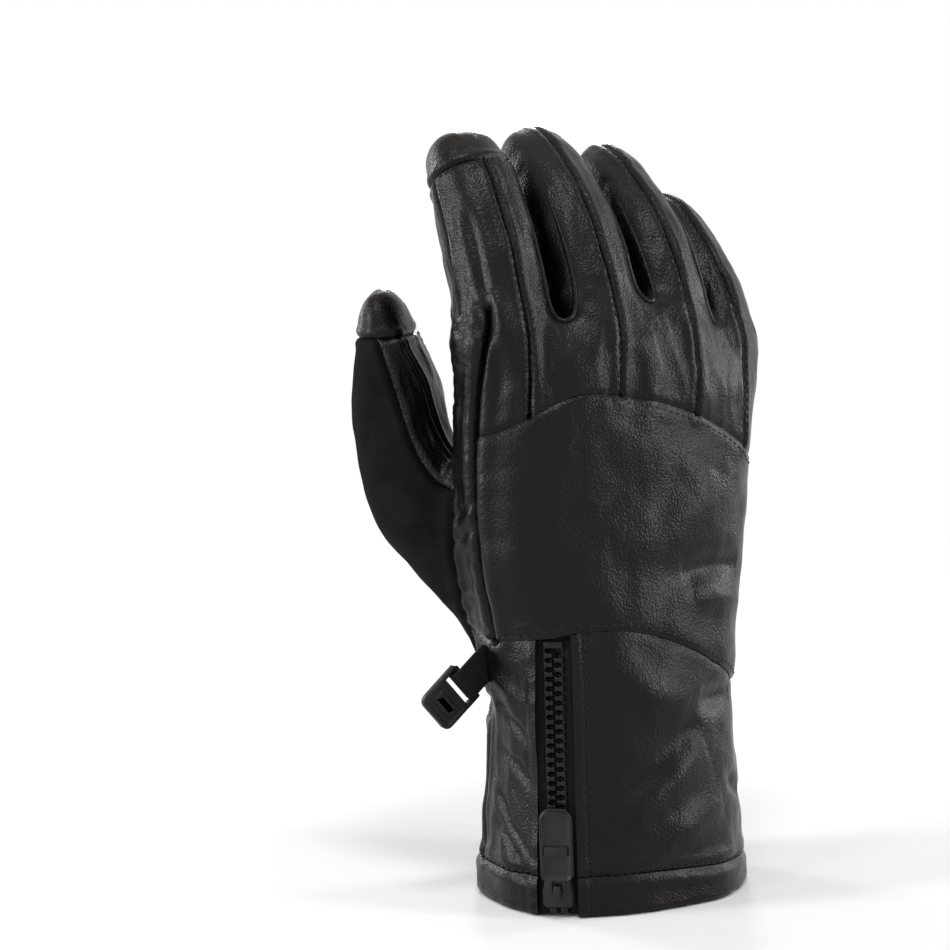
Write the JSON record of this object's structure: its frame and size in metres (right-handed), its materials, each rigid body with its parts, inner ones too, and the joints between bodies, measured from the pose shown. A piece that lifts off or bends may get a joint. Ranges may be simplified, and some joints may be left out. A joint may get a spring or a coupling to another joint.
{
  "type": "ski glove",
  "caption": "Black leather right-hand ski glove with a long zipped cuff, a stitched back overlay, bending fingers, a swinging thumb, a sliding zip pull and a wrist strap with a buckle.",
  "frame": {"origin": "on the floor under the middle of the glove's box, at the hem of the cuff", "axes": "+Z from the cuff's hem to the fingertips, -Y the back of the hand, -X the thumb side"},
  "size_m": [0.1266, 0.09, 0.2403],
  "materials": {
    "leather": "satin grained black leather",
    "smooth_leather": "smooth matte black leather",
    "suede": "black suede",
    "padding": "insulating wadding",
    "fleece": "dark fleece",
    "woven_tape": "woven black webbing",
    "moulded_plastic": "moulded black plastic",
    "painted_metal": "black painted metal"
  },
  "bodies": {
    "hand": {"back_overlay": "leather", "cuff_back_panel": "leather", "cuff_palm_panel": "leather", "cuff_thumb_panel": "leather", "hand_insulation": "padding", "hand_lining": "fleece", "hem_band": "leather", "knuckle_strip_1": "leather", "knuckle_strip_2": "leather", "knuckle_strip_3": "leather", "knuckle_strip_4": "leather", "knuckle_strip_5": "leather", "palm_panel": "leather", "palm_suede_patch": "suede", "thumb_side_panel": "leather", "wrist_elastic_casing": "leather", "wrist_strap": "woven_tape", "zip_gusset": "smooth_leather", "zip_hem_stop_left": "moulded_plastic", "zip_hem_stop_right": "moulded_plastic", "zip_tape_left": "woven_tape", "zip_tape_right": "woven_tape", "zip_teeth_left": "moulded_plastic", "zip_teeth_right": "moulded_plastic", "zip_top_stop": "moulded_plastic"},
    "index_finger": {"index_back_left": "leather", "index_back_right": "leather", "index_insulation": "padding", "index_lining": "fleece", "index_palm": "smooth_leather", "index_tip_cap": "leather"},
    "middle_finger": {"middle_back_left": "leather", "middle_back_right": "leather", "middle_insulation": "padding", "middle_lining": "fleece", "middle_palm": "smooth_leather"},
    "ring_finger": {"ring_back_left": "leather", "ring_back_right": "leather", "ring_insulation": "padding", "ring_lining": "fleece", "ring_palm": "smooth_leather"},
    "little_finger": {"little_back_left": "leather", "little_back_right": "leather", "little_insulation": "padding", "little_lining": "fleece", "little_palm": "smooth_leather"},
    "thumb": {"thumb_insulation": "padding", "thumb_leather": "leather", "thumb_lining": "fleece", "thumb_suede": "suede", "thumb_tip_cap": "leather"},
    "zip_slider": {"zip_slider": "painted_metal"},
    "zip_pull": {"zip_pull_tab": "moulded_plastic"},
    "buckle": {"wrist_buckle": "moulded_plastic"}
  },
  "joints": [
    {"name": "index_flex", "type": "hinge", "parent": "hand", "child": "index_finger", "pos_m": [-0.03021, 0.00964, 0.18422], "axis": [-1, 0, 0], "range_deg": [0, 35], "stiffness_Nm_per_rad": 0.25},
    {"name": "middle_flex", "type": "hinge", "parent": "hand", "child": "middle_finger", "pos_m": [0.00029, 0.00856, 0.18635], "axis": [-1, 0, 0], "range_deg": [0, 50], "stiffness_Nm_per_rad": 0.25},
    {"name": "ring_flex", "type": "hinge", "parent": "hand", "child": "ring_finger", "pos_m": [0.02829, 0.01023, 0.18286], "axis": [-1, 0, 0], "range_deg": [0, 50], "stiffness_Nm_per_rad": 0.25},
    {"name": "little_flex", "type": "hinge", "parent": "hand", "child": "little_finger", "pos_m": [0.05204, 0.01393, 0.17152], "axis": [-1, 0, 0], "range_deg": [0, 50], "stiffness_Nm_per_rad": 0.25},
    {"name": "thumb_swing", "type": "hinge", "parent": "hand", "child": "thumb", "pos_m": [-0.03133, 0.01628, 0.11536], "axis": [0, 0, -1], "range_deg": [0, 30], "stiffness_Nm_per_rad": 0.25},
    {"name": "zip_slide", "type": "slide", "parent": "hand", "child": "zip_slider", "axis": [-0.0043, 0.044, 0.999], "range_m": [0, 0.07]},
    {"name": "zip_pull_flip", "type": "hinge", "parent": "zip_slider", "child": "zip_pull", "pos_m": [-0.02841, -0.03542, 0.00855], "axis": [0.7974, -0.6028, 0.03], "range_deg": [0, 155]},
    {"name": "buckle_tilt", "type": "hinge", "parent": "hand", "child": "buckle", "pos_m": [-0.04375, -0.004, 0.07092], "axis": [0.6561, 0, -0.7547], "range_deg": [-40, 40]}
  ]
}
